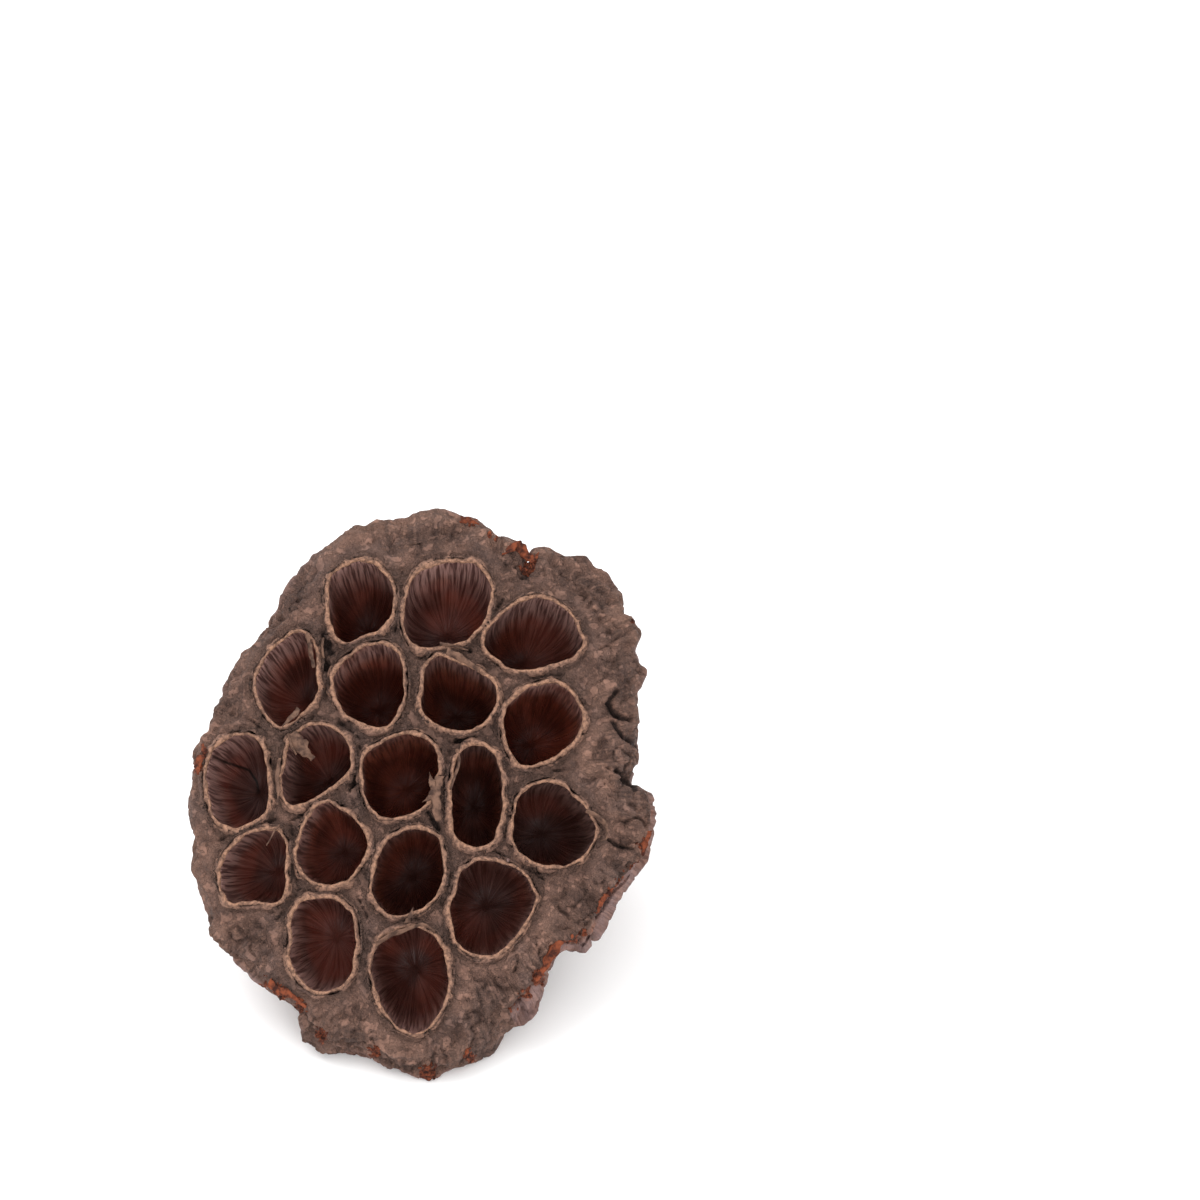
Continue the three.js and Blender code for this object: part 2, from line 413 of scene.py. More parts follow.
chamber_at = chamber_lookup(pod_body.data, chamber_of_face)
deselect_all()
pod_body.select_set(True)
bpy.context.view_layer.objects.active = pod_body
remesh = pod_body.modifiers.new("even mesh", "REMESH")
remesh.mode = "VOXEL"
remesh.voxel_size = FINE_VOXEL * MM
bpy.ops.object.modifier_apply(modifier=remesh.name)

middles = np.empty(len(pod_body.data.polygons) * 3)
pod_body.data.polygons.foreach_get("center", middles)
middles = middles.reshape(-1, 3)
is_hidden = (chamber_at(middles) >= 0) & (to_face(middles)[:, 2] < HIDDEN_BELOW)
bpy.ops.object.mode_set(mode="EDIT")
bpy.ops.mesh.select_mode(type="FACE")
bpy.ops.mesh.select_all(action="DESELECT")
bpy.ops.object.mode_set(mode="OBJECT")
pod_body.data.polygons.foreach_set("select", is_hidden)
bpy.ops.object.mode_set(mode="EDIT")
bpy.ops.mesh.decimate(ratio=HIDDEN_SHARE)
bpy.ops.object.mode_set(mode="OBJECT")
print("body:", len(is_hidden), "faces,", int(is_hidden.sum()), "hidden ones thinned to",
      len(pod_body.data.polygons), "in all")

# %% Where each vertex is on the pod
body_points = to_face(vertices_of(pod_body.data))
body_normals = normals_of(pod_body.data)
in_chamber = chamber_at(vertices_of(pod_body.data)) >= 0
round_axis = np.arctan2(body_points[:, 1], body_points[:, 0])
from_axis = np.hypot(body_points[:, 0], body_points[:, 1])
level = body_points[:, 2]


def mouth_distances(points, reach=9.0):
    """For each point, the distances across the face to the nearest two mouths' edges."""
    nearest = np.full((len(points), 2), reach)
    for mouth in mouths:
        low, high = mouth[:, :2].min(axis=0) - reach, mouth[:, :2].max(axis=0) + reach
        close = np.flatnonzero(((points[:, :2] > low) & (points[:, :2] < high)).all(axis=1))
        for part in np.array_split(close, 1 + len(close) // 4000):
            gaps = points[part, None, :2] - mouth[None, :, :2]
            distance = np.sqrt((gaps ** 2).sum(axis=2).min(axis=1))
            first, second = nearest[part].T
            nearest[part, 0] = np.minimum(first, distance)
            nearest[part, 1] = np.minimum(second, np.maximum(first, distance))
    return nearest.T


to_lip, to_next_lip = mouth_distances(body_points)
on_face = smooth_step(0.05, 0.55, body_normals[:, 2]) * ~in_chamber * (level > -9)
on_wall = smooth_step(0.35, -0.1, body_normals[:, 2]) * ~in_chamber
print("body vertices:", len(body_points), "on the face", int(on_face.sum()))

# %% Sculpt the face
LIP_RING = 0.6
VALLEY_DEPTH = 0.6
FISSURE_DEPTH = 1.2
LUMP_HEIGHT = 1.7
PLEAT_DEPTH = 0.8
WRINKLE_DEPTH = 0.6
GRAIN_HEIGHT = 0.12


def round_the_stem(angle, down, folds, stretch):
    """Points on a ring, so that noise read there joins up round the stem and runs along it."""
    radius = folds / math.tau
    return np.stack([np.cos(angle) * radius, np.sin(angle) * radius, down * stretch], axis=1)


# Deeper cracks and slits run through the skin in some places. Each is a path of points across
# the face, with its width and its depth.
CRACKS = [
    ([(-17.0, 27.5), (-17.2, 24.5), (-16.6, 21.5)], 0.55, 1.8),
    ([(37.4, 1.0), (35.6, 2.4), (33.8, 3.4)], 0.75, 2.2),
    ([(32.4, -8.4), (34.2, -9.6), (36.8, -9.9)], 0.45, 1.2),
    ([(1.4, -3.8), (2.3, -5.2), (3.4, -6.6)], 0.55, 1.8),
    ([(16.2, -27.6), (17.0, -29.4), (16.4, -31.4)], 0.4, 1.0),
    ([(18.8, 43.0), (18.6, 40.2), (17.8, 38.2)], 1.0, 2.4),
    ([(-12.6, 4.8), (-11.4, 3.0), (-11.9, 0.8)], 0.55, 1.3),
    ([(-15.8, 24.2), (-16.6, 26.8), (-14.4, 28.2)], 0.8, 1.8),
    ([(5.2, 8.6), (7.0, 8.9), (9.4, 9.2)], 0.5, 1.4),
    ([(7.0, -10.4), (10.0, -11.2), (13.6, -10.9)], 0.5, 1.4),
    ([(19.6, -13.2), (21.4, -14.2), (23.4, -14.0)], 0.5, 1.6),
    ([(3.8, 25.4), (6.0, 25.3), (8.4, 24.6)], 0.5, 1.5),
    ([(34.0, 17.5), (32.4, 15.4), (33.6, 13.2), (36.0, 12.4)], 0.6, 1.4),
    ([(38.2, 8.0), (34.6, 9.8), (33.2, 12.0)], 0.6, 1.4),
]


def distance_to_path(points, path):
    """Each point's distance across the face to a path of straight pieces."""
    nearest = np.full(len(points), 99.0)
    for first, second in zip(np.array(path[:-1]), np.array(path[1:])):
        along = second - first
        share = np.clip((points[:, :2] - first) @ along / (along @ along), 0, 1)
        gap = points[:, :2] - first - share[:, None] * along
        nearest = np.minimum(nearest, np.linalg.norm(gap, axis=1))
    return nearest


def crack_relief(points):
    """How deep the cracks go, in millimetres, as negative heights."""
    shift = 0.5 * soft_noise(points * 0.8 + 50.0, 2)
    deepest_crack = np.zeros(len(points))
    for path, width, depth in CRACKS:
        gap = np.abs(distance_to_path(points, path) + shift * 0.6)
        deepest_crack = np.minimum(deepest_crack, -depth * (1 - smooth_step(0.1 * width, width, gap)))
    return deepest_crack


def face_relief(points, lip, next_lip):
    """How far the face's skin stands out, in millimetres, and how much of that is creases."""
    ring = -LIP_RING * (1 - smooth_step(1.2, 2.0, lip))
    margin = smooth_step(1.6, 5.0, lip)
    between = (1 - smooth_step(4.0, 7.0, lip + next_lip)) * smooth_step(1.0, 1.6, lip)
    valley = -VALLEY_DEPTH * between
    warp = soft_noise(points * 0.25, 2)[:, None] * 1.6
    middle = 1 - smooth_step(0.0, 0.55, next_lip - lip + 0.5 * soft_noise(points * 0.9, 2))
    broken = smooth_step(-0.1, 0.25, soft_noise(points * 0.22 + 5.0))
    fissure = -FISSURE_DEPTH * middle * between * broken
    lumps = soft_noise((points + warp) * 0.12 + 31.0, 3, 0.45) * LUMP_HEIGHT * margin
    angle = np.arctan2(points[:, 1], points[:, 0]) + warp[:, 0] * 0.06
    from_stem = np.hypot(points[:, 0], points[:, 1])
    radial = np.abs(soft_noise(round_the_stem(angle, from_stem, 34, 0.03), 2))
    pleats = -PLEAT_DEPTH * (1 - smooth_step(0.0, 0.35, radial)) * margin
    ridges = soft_noise(round_the_stem(angle + 1.0, from_stem, 26, 0.05), 2) * margin
    fine_ridges = soft_noise(round_the_stem(angle + 2.0, from_stem, 70, 0.08), 2) * margin
    folds = np.abs(soft_noise((points + warp) * 0.26 + 9.0, 2))
    wrinkles = -WRINKLE_DEPTH * (1 - smooth_step(0.0, 0.2, folds)) * (0.2 + 0.8 * margin)
    grain = soft_noise(points * 1.3, 2) * GRAIN_HEIGHT
    creased = fissure + 0.6 * pleats + 0.5 * wrinkles + crack_relief(points)
    folds_up = 0.4 * pleats + 0.5 * wrinkles + 0.9 * ridges + 0.35 * fine_ridges
    return ring + valley + lumps + folds_up + grain + creased, creased


near_face = on_face > 0
relief, creased = np.zeros((2, len(body_points)))
relief[near_face], creased[near_face] = face_relief(
    body_points[near_face], to_lip[near_face], to_next_lip[near_face])
relief *= on_face
print("face relief from", relief.min().round(2), "to", relief.max().round(2), "mm")

# %% Sculpt the wall and the rim
FOLD_DEPTH = 1.6
CREASE_DEPTH = 1.4
FINE_CREASE_DEPTH = 0.45
RIM_LEVEL = -4.5
RIM_SWELL = {-180: 0.4, -62: 0.2, -50: -1.2, -36: -2.2, -20: -2.4, -6: -0.9, 15: 0.2, 50: 0.9,
             65: 1.6, 90: 2.0, 108: 1.7, 130: 0.4, 180: 0.4}


def crease(points, width):
    """1 on thin winding lines where a noise crosses zero, and 0 away from them."""
    return 1 - smooth_step(0.0, width, np.abs(soft_noise(points)))


wander = 0.10 * soft_noise(round_the_stem(round_axis, level, 9, 0.06) + 3.1, 2)
turned = round_axis + wander
along_wall = smooth_step(-43.5, -36.0, level) * smooth_step(-2.0, -11.0, level)
broad = soft_noise(round_the_stem(turned, level, 22, 0.02)) * FOLD_DEPTH
creases = crease(round_the_stem(turned, level, 34, 0.022) + 7.7, 0.10)
fine_creases = crease(round_the_stem(turned, level, 80, 0.03) + 2.2, 0.12)
taper = np.clip(from_axis / 30.0, 0.25, 1.0)
wall_relief = (broad - CREASE_DEPTH * creases - FINE_CREASE_DEPTH * fine_creases) * along_wall * taper
crease_depth = CREASE_DEPTH * creases + FINE_CREASE_DEPTH * fine_creases
# The wall's creases join the mask of painted shade in the creases.
creased -= 0.8 * crease_depth * along_wall * taper * on_wall
wall_relief += 0.12 * soft_noise(round_the_stem(turned, level, 260, 0.2), 2)
relief += wall_relief * on_wall

at_rim = np.exp(-((level - RIM_LEVEL) / 3.6) ** 2) * smooth_step(0.9, 0.2, body_normals[:, 2])
at_rim *= ~in_chamber
rim_lumps = soft_noise(body_points * 0.2 + 4.0, 2) * 1.2 + soft_noise(body_points * 1.0, 2) * 0.15
swell = np.interp(np.degrees(round_axis), list(RIM_SWELL), list(RIM_SWELL.values()))
relief += at_rim * (rim_lumps + swell)
print("wall relief from", wall_relief.min().round(2), "to", wall_relief.max().round(2), "mm")

# %% [markdown]
# Where the pod lies lowest, the face has torn away from the wall: a ragged orange edge runs just
# inside the rim, and the grey-brown wall shows outside it. More orange tissue shows in small
# torn places all round the rim. Both are marked in an attribute that the finishes read.

# %% Torn edges
TORN_EDGE = [
    (41.0, -4.0), (39.6, -10.5), (36.5, -13.8), (33.6, -17.2), (31.6, -21.2), (28.2, -25.0),
    (24.2, -26.6), (22.6, -30.0), (19.4, -33.4), (15.5, -38.0),
]
TORN_EDGE_DROP = 0.75
TORN_SPOTS = [
    (8.2, 48.4, 1.5), (12.6, 45.6, 1.3), (17.2, 44.0, 1.6), (18.6, 40.2, 1.4), (37.4, 30.6, 0.9),
    (-38.8, 4.6, 1.4), (-24.0, -35.0, 1.6), (-26.8, -33.4, 1.1), (-20.8, -36.8, 1.1),
    (-17.2, -42.4, 1.2), (-8.0, -45.2, 1.2), (1.4, -48.8, 1.6), (9.0, -45.6, 1.1),
    (39.2, -9.0, 1.5), (23.4, -28.0, 1.6), (20.8, -32.0, 1.8), (32.2, -19.6, 1.3),
]


def beyond_torn_edge(points):
    """How far each point lies outside the torn edge, in millimetres, and -9 elsewhere."""
    edge = np.array(TORN_EDGE)
    edge_angle = np.arctan2(edge[:, 1], edge[:, 0])[::-1]
    edge_radius = np.hypot(edge[:, 0], edge[:, 1])[::-1]
    angle = np.arctan2(points[:, 1], points[:, 0])
    ragged = 0.8 * soft_noise(points * 0.8 + 21.0, 3)
    beyond = np.hypot(points[:, 0], points[:, 1]) - np.interp(angle, edge_angle, edge_radius) + ragged
    return np.where((angle > edge_angle[0]) & (angle < edge_angle[-1]), beyond, -9.0)


def torn_share(points, beyond):
    """1 where orange tissue shows, 0 on whole skin, with ragged borders."""
    ragged = soft_noise(points * 0.9 + 3.0, 3)
    patchy = 0.9 * smooth_step(-0.2, 0.3, soft_noise(points * 0.17 + 12.0))
    torn = 1 - smooth_step(0.2, 0.6, np.abs(beyond - 0.3) + 0.6 * ragged + patchy)
    for x, y, size in TORN_SPOTS:
        gap = np.hypot(points[:, 0] - x, points[:, 1] - y) / size
        torn = np.maximum(torn, 1 - smooth_step(0.5, 1.0, gap + 0.5 * ragged))
    return torn


beyond = beyond_torn_edge(body_points)
torn = torn_share(body_points, beyond) * smooth_step(-8.0, -5.0, level) * ~in_chamber
drop = TORN_EDGE_DROP * np.clip(beyond, 0, 6) * on_face
on_wall = np.maximum(on_wall, smooth_step(0.2, 0.7, beyond) * ~in_chamber)
relief += torn * (soft_noise(body_points * 1.3 + 60.0, 3) * 0.8 - 0.3)
print("torn share", round(float(torn.mean()), 3), "deepest drop", drop.max().round(2), "mm")

# %% Put the relief on the body
FLOOR_GAP = 0.02
MOST_TRIANGLES = 190000

body_points += body_normals * relief[:, None]
body_points[:, 2] -= drop
row_points = from_face(body_points)
row_points[:, 2] = np.maximum(row_points[:, 2], FLOOR_GAP * MM)
put_vertices(pod_body.data, row_points)
add_attribute(pod_body.data, "wall", on_wall)
# The crease attribute holds the creases' depth, where the skin paint puts painted shade.
add_attribute(pod_body.data, "crease", np.clip(-creased, 0, 2) / 2)
add_attribute(pod_body.data, "from_lip", np.clip(to_lip / 6, 0, 1))
# The rise attribute, from low to high skin, carries the skin paint's painted highlight and painted
# shade.
add_attribute(pod_body.data, "rise", np.clip((relief * on_face + 1.5) / 3, 0, 1))
add_attribute(pod_body.data, "torn", torn)
add_attribute(pod_body.data, "stub", smooth_step(-38.0, -42.5, level + soft_noise(body_points * 0.5)))
add_attribute(pod_body.data, "grain", round_the_stem(turned, level, 420, 0.18))
bpy.context.view_layer.objects.active = pod_body
pod_body.select_set(True)
pod_body.data.calc_loop_triangles()
if len(pod_body.data.loop_triangles) > MOST_TRIANGLES:
    thinning = pod_body.modifiers.new("thinning", "DECIMATE")
    thinning.ratio = MOST_TRIANGLES / len(pod_body.data.loop_triangles)
    bpy.ops.object.modifier_apply(modifier=thinning.name)
bpy.ops.object.shade_smooth()
print("body finished:", len(pod_body.data.polygons), "faces")

# %% [markdown]
# ## The chamber linings
#
# Each chamber is lined with a smooth skin that ends in a papery lip. One flat grid is rolled up
# for each: its columns run round the mouth, and its rows run from the bottom of the cup up the
# inner wall, over the lip and down behind it. Where the sheet's edges meet, doubles are merged,
# which closes the seam and both poles, so that the lining is a thin closed shell.

# %% The section of a lining
INNER_ROWS = 28
OUTER_ROWS = 8
CUP_EXPONENT = 2.5
CUP_SHOULDER = 0.2
CUP_SWELL = 1.02
SKIN = 0.35
LIP_SECTION = [
    (-0.02, -0.9), (-0.06, -0.3), (-0.06, 0.1), (0.0, 0.36), (0.10, 0.53), (0.26, 0.60),
    (0.44, 0.55), (0.62, 0.36), (0.80, 0.04), (0.98, -0.4), (1.04, -1.0), (0.7, -1.8),
]
# How much painted sheen, a pale lilac-grey reflection, each chamber's wall gets, in reading order.
CHAMBER_SHEEN = [
    0.35, 0.6, 0.6, 0.55, 0.3, 0.25, 0.1, 0.5, 0.0, 0.8, 0.35, 0.7, 0.5, 0.7, 0.3, 0.7, 0.85, 0.6,
]
CHAMBER_SHADE = [
    0.15, 0.0, 0.3, 0.0, 0.05, 0.35, 0.0, 0.0, 0.3, 0.05, 0.5, 0.5, 0.0, 0.0, 0.35, 0.3, 0.1, 0.15,
]


def cup_rows(count, first):
    """Rows of a cup's section, from its bottom: the share of the mouth and the share of depth."""
    turn = np.linspace(first, math.pi / 2, count)
    down = CUP_SHOULDER + (1 - CUP_SHOULDER) * np.cos(turn) ** (2 / CUP_EXPONENT)
    return np.stack([CUP_SWELL * np.sin(turn) ** (2 / CUP_EXPONENT), down], axis=1)


inner_cup = cup_rows(INNER_ROWS, 0.0)
inner_cup = np.vstack([inner_cup, [[CUP_SWELL, 0.12], [1.01, 0.07]]])
outer_cup = cup_rows(OUTER_ROWS, 0.0)[::-1]
print("a lining has", len(inner_cup) + len(LIP_SECTION) + len(outer_cup), "rows")

# %% Roll up a lining
LINING_CRACK = [(-36.6, 6.3), (-33.2, 6.1), (-30.6, 5.5), (-29.3, 3.6), (-28.9, 1.5)]


def outward_of(row):
    """The outward direction at each point of an anticlockwise outline."""
    along = np.roll(row, -1, axis=0) - np.roll(row, 1, axis=0)
    out = np.stack([along[:, 1], -along[:, 0]], axis=1)
    return out / np.linalg.norm(out, axis=1)[:, None]


def lining_points(mouth, bottom, seed):
    """A lining's rows of points, its share of lip, its depth and its grain, in millimetres."""
    columns = len(mouth)
    turn = np.arange(columns) / columns * math.tau
    ring = np.stack([np.cos(turn), np.sin(turn), np.full(columns, seed * 7.3)], axis=1)
    middle = mouth[:, :2].mean(axis=0)
    out = outward_of(mouth[:, :2])
    girth = np.linalg.norm(np.roll(mouth, -1, axis=0) - mouth, axis=1).sum()
    wobble = soft_noise(ring * 2.2, 3) * 0.38
    edge = mouth[:, :2] + out * wobble[:, None]
    lip_height = 1 + soft_noise(ring * 3.4 + 40, 3) * 1.1
    lip_width = 1 + soft_noise(ring * 2.6 + 80, 3) * 0.7
    flutes = soft_noise(ring * 16, 2) * 0.14
    top = mouth[:, 2] - 0.7 - 0.25
    rows, lip, depth = [], [], []
    deep = top - bottom[2]
    for share, down in inner_cup:
        shape = middle + (bottom[:2] - middle) * down + (edge - middle) * share
        shape = shape + out * (flutes * min(share, 1.0) ** 2)[:, None]
        rows.append(np.column_stack([shape, top - deep * down]))
        lip.append(np.zeros(columns))
        depth.append(np.full(columns, down))
    for across, up in LIP_SECTION:
        shape = edge + out * (across * lip_width)[:, None]
        height = top + up * np.where(up > 0, lip_height, 1.0)
        rows.append(np.column_stack([shape, height]))
        lip.append(np.full(columns, smooth_step(-0.6, 0.15, up) if across < 0.3 else 1.0))
        depth.append(np.zeros(columns))
    for share, down in outer_cup:
        shape = middle + (bottom[:2] - middle) * down + (edge - middle) * share
        shape = shape + out * SKIN * min(share * 2, 1.0)
        rows.append(np.column_stack([shape, top - deep * down - SKIN * (1 - min(share, 1))]))
        lip.append(np.zeros(columns))
        depth.append(np.full(columns, down))
    rows = np.array(rows)
    travelled = np.array(depth) * deep.mean()
    radius = girth / math.tau
    grain = np.dstack([np.tile(np.cos(turn) * radius, (len(rows), 1)),
                       np.tile(np.sin(turn) * radius, (len(rows), 1)), travelled])
    return rows, np.array(lip), np.array(depth), grain


def roll_up(name, mouth, bottom, seed):
    """One lining as an object, from a flat grid."""
    rows, lip, depth, grain = lining_points(mouth, bottom, seed)
    row_count, columns = lip.shape
    deselect_all()
    bpy.ops.mesh.primitive_grid_add(x_subdivisions=columns, y_subdivisions=row_count - 1, size=1)
    lining = bpy.context.object
    lining.name = lining.data.name = name
    flat = vertices_of(lining.data)
    column = np.rint((flat[:, 0] + 0.5) * columns).astype(int) % columns
    row = np.rint((flat[:, 1] + 0.5) * (row_count - 1)).astype(int)
    put_vertices(lining.data, from_face(rows[row, column]))
    add_attribute(lining.data, "lip", lip[row, column])
    add_attribute(lining.data, "depth", depth[row, column])
    on_slope = np.clip((row - len(inner_cup) - 4) / 4, 0, 1)
    add_attribute(lining.data, "slope", on_slope)
    # The grey attribute carries the chamber's share of painted sheen.
    add_attribute(lining.data, "grey", np.full(len(flat), CHAMBER_SHEEN[seed - 1]))
    add_attribute(lining.data, "shade", np.full(len(flat), CHAMBER_SHADE[seed - 1]))
    add_attribute(lining.data, "grain", grain[row, column])
    in_crack = 1 - smooth_step(0.12, 0.32, distance_to_path(rows[row, column], LINING_CRACK))
    add_attribute(lining.data, "crack", in_crack * (row < len(inner_cup)))
    bpy.ops.object.mode_set(mode="EDIT")
    bpy.ops.mesh.select_all(action="SELECT")
    bpy.ops.mesh.remove_doubles(threshold=2e-6)
    bpy.ops.mesh.normals_make_consistent(inside=False)
    bpy.ops.object.mode_set(mode="OBJECT")
    bpy.ops.object.shade_smooth()
    return lining


linings = []
reading_order = sorted(range(len(mouths)), key=lambda i: -mouths[i][:, 1].mean())
for number, index in enumerate(reading_order, start=1):
    name = f"chamber_lining_{number:02d}"
    linings.append(roll_up(name, mouths[index], bottoms[index], number))
print(len(linings), "linings of", len(linings[0].data.polygons), "faces")

# %% [markdown]
# ## Torn strips and fibres
#
# Dry lips split: strips stand loose in the mouths, a flap curls into one chamber, and spikes and
# fibres stick out where two chambers have broken into each other. Each is a small flat grid bent
# along a short path, with a ragged width that tapers to a point, and it gets its thickness from
# a Solidify modifier. The points of the paths are given as right, up and out on the face, and
# followed by the direction across the strip, its width and how far it narrows. Orange strips at
# the rim are then drawn towards the skin, so that none of them floats, and the fibres round the
# stub's end are spread by a seeded random generator.

# %% Bend strips along paths
STRIP_STEPS = 26
STRIP_ACROSS = 4
STRIP_THICKNESS = 0.28
STRIPS = {
    "loose_lip": ([(-19.8, 27.4, 0.5), (-19.3, 25.2, 0.6), (-18.9, 23.2, 0.3), (-18.6, 21.4, -0.2)],
                  (0.6, 0.1, 1.0), 1.5, 0.35),
    "second_lip": ([(-17.0, 26.6, 0.3), (-17.2, 24.8, 0.5), (-16.9, 23.0, 0.1)],
                   (0.4, 0.0, 1.0), 1.2, 0.4),
    "corner_spike": ([(-21.0, 14.2, 0.4), (-22.6, 12.4, 0.8), (-23.9, 10.9, 0.9)],
                     (0.5, -0.5, 0.4), 1.1, 1.0),
    "peeled_lip": ([(4.4, 24.2, 0.5), (6.6, 23.2, 1.1), (8.4, 22.0, 0.9), (10.2, 20.9, 0.2)],
                   (0.3, 0.8, 0.7), 1.5, 0.4),
    "twin_lip": ([(3.2, 25.6, 0.3), (5.4, 25.2, 0.6), (8.2, 24.4, 0.3)],
                 (0.0, 0.5, 1.0), 0.9, 0.6),
    "curled_flap": ([(-22.6, 9.6, 0.5), (-21.2, 8.4, 0.5), (-20.0, 6.8, -0.3), (-18.6, 5.6, -1.6)],
                    (0.8, 0.7, 0.1), 2.6, 0.6),
    "flap_edge": ([(-22.9, 9.8, 0.6), (-22.5, 8.0, 0.5), (-21.4, 6.2, 0.1)],
                  (0.4, 0.2, 1.0), 1.2, 0.5),
    "split_plate": ([(3.2, 2.4, 0.5), (2.6, 0.2, 0.9), (2.7, -2.4, 0.8), (3.2, -5.4, 0.5)],
                    (1.0, 0.0, 0.2), 2.0, 0.35),
    "upper_spike": ([(2.4, 0.2, 0.6), (1.9, 1.6, 1.0), (1.6, 3.0, 1.2)],
                    (1.0, 0.2, 0.3), 1.1, 1.0),
    "lower_spike": ([(2.6, -0.9, 0.5), (1.5, -1.4, 0.9), (0.4, -2.2, 1.0)],
                    (0.2, 1.0, 0.3), 1.3, 1.0),
    "inner_lip": ([(6.3, 7.2, 0.3), (6.7, 5.0, 0.0), (6.1, 2.6, 0.3), (5.2, 0.0, 0.8)],
                  (0.6, 0.0, 1.0), 1.1, 0.5),
    "curled_tip": ([(28.6, -3.6, 0.4), (30.6, -4.6, 0.8), (32.2, -6.4, 1.1), (32.3, -8.6, 0.8),
                    (31.0, -8.9, 0.4)], (0.5, 0.5, 1.0), 1.1, 0.4),
    "fibre": ([(-24.2, -6.2, 0.8), (-25.0, -7.4, 1.4), (-25.6, -8.6, 1.2), (-26.4, -9.6, 0.3)],
              (0.7, 0.7, 0.3), 0.5, 0.8),
    "gap_spike": ([(-2.2, -23.0, 0.3), (-1.6, -21.9, 0.9), (-1.0, -20.4, 1.2)],
                  (1.0, 0.2, 0.4), 1.2, 1.0),
    "folded_lip": ([(-7.4, -26.6, 0.4), (-4.6, -24.9, 0.9), (-1.8, -24.1, 1.1), (0.6, -23.0, 0.9),
                    (2.8, -24.6, 0.4)], (0.0, 0.7, 1.0), 1.2, 0.4),
    "side_splinter": ([(-24.2, 5.6, 0.4), (-24.7, 2.6, 0.6), (-24.3, -0.6, 0.5), (-24.6, -2.6, 0.4)],
                      (1.0, 0.0, 0.7), 0.9, 0.6),
    "torn_spur": ([(15.0, 42.0, -1.0), (16.2, 43.6, -0.5), (17.0, 44.8, -0.4), (17.8, 43.8, -1.0)],
                  (1.0, 0.3, 0.2), 2.4, 0.6),
    "torn_cleft": ([(17.2, 43.2, -0.6), (18.2, 41.2, -0.4), (19.2, 40.6, -0.5), (19.9, 42.0, -1.0)],
                   (0.8, 0.6, 0.4), 1.8, 0.5),
    "torn_crest": ([(6.6, 48.8, -1.2), (8.2, 49.0, -0.4), (10.2, 47.9, -0.7)],
                   (0.1, 1.0, 0.4), 1.3, 0.8),
    "torn_left": ([(-38.7, 6.6, -0.8), (-39.3, 4.6, -0.6), (-38.6, 2.8, -0.9)],
                  (1.0, 0.0, 0.4), 1.6, 0.7),
    "torn_foot": ([(-26.8, -33.6, -0.9), (-24.6, -35.3, -0.7), (-22.0, -36.0, -0.6),
                   (-19.8, -37.3, -0.9)], (0.4, 0.9, 0.4), 1.5, 0.6),
    "torn_right": ([(39.8, -6.8, -1.0), (39.2, -9.2, -0.6), (38.4, -11.6, -1.0)],
                   (1.0, 0.1, 0.4), 1.4, 0.6),
    "torn_shard": ([(33.4, -17.2, -1.0), (31.8, -19.2, -0.6), (31.3, -21.6, -0.8)],
                   (0.9, 0.4, 0.4), 1.8, 0.6),
    "torn_ledge": ([(24.0, -25.8, -0.8), (23.2, -28.0, -0.3), (22.0, -30.2, -0.5), (20.0, -33.2, -0.9)],
                   (0.9, -0.3, 0.4), 2.0, 0.6),
    "torn_tongue": ([(-36.6, 6.4, -0.9), (-37.8, 7.4, -0.6), (-38.5, 8.9, -0.9)],
                   (0.8, 0.5, 0.4), 1.5, 0.7),
}
STUB_FIBRES = 22
STUB_RADIUS = 4.0
STUB_LEVEL = -42.6
HELD_TO_SKIN = 0.65
LEAST_HEIGHT = 0.3

skin_tree = BVHTree.FromPolygons([vertex.co for vertex in pod_body.data.vertices],
                                 [tuple(face.vertices) for face in pod_body.data.polygons])


def nearest_skin(point):
    """The body's surface point nearest to a point in face coordinates."""
    return to_face(np.array(skin_tree.find_nearest(Vector(from_face(np.array(point))))[0]))


def along_path(points, count):
    """Evenly spread points on a smooth curve through a path's points."""
    points = np.array(points)
    knots = np.arange(len(points))
    wanted = np.linspace(0, len(points) - 1, count)
    straight = np.stack([np.interp(wanted, knots, points[:, axis]) for axis in range(3)], axis=1)
    for _ in range(count // 4):
        straight[1:-1] = (straight[:-2] + 2 * straight[1:-1] + straight[2:]) / 4
    return straight


def bend_strip(name, path, across, width, taper, seed):
    """A ragged strip of dry tissue along a path, as an object."""
    deselect_all()
    bpy.ops.mesh.primitive_grid_add(x_subdivisions=STRIP_STEPS, y_subdivisions=STRIP_ACROSS, size=1)
    strip = bpy.context.object
    strip.name = strip.data.name = name
    flat = vertices_of(strip.data)
    step = np.rint((flat[:, 0] + 0.5) * STRIP_STEPS).astype(int)
    share = step / STRIP_STEPS
    middle = along_path(path, STRIP_STEPS + 1)[step]
    across = np.array(across) / np.linalg.norm(across)
    ragged = 1 + 0.6 * soft_noise(np.column_stack([share * 6, flat[:, 1], np.full(len(flat), seed)]), 3)
    narrowing = 1 - taper * smooth_step(0.35, 1.0, share)
    offset = flat[:, 1] * width * ragged * np.maximum(narrowing, 0.06)
    points = middle + across * offset[:, None]
    points[:, 2] += 0.25 * soft_noise(points * 1.1 + seed, 2) - 0.5 * np.abs(offset) ** 2 / width
    points = from_face(points)
    points[:, 2] = np.maximum(points[:, 2], LEAST_HEIGHT * MM)
    put_vertices(strip.data, points)
    solidify = strip.modifiers.new("thickness", "SOLIDIFY")
    solidify.thickness = STRIP_THICKNESS * MM
    solidify.offset = 0
    bpy.ops.object.modifier_apply(modifier=solidify.name)
    rounding = strip.modifiers.new("rounding", "SUBSURF")
    rounding.levels = rounding.render_levels = 1
    bpy.ops.object.modifier_apply(modifier=rounding.name)
    bpy.ops.object.shade_smooth()
    return strip


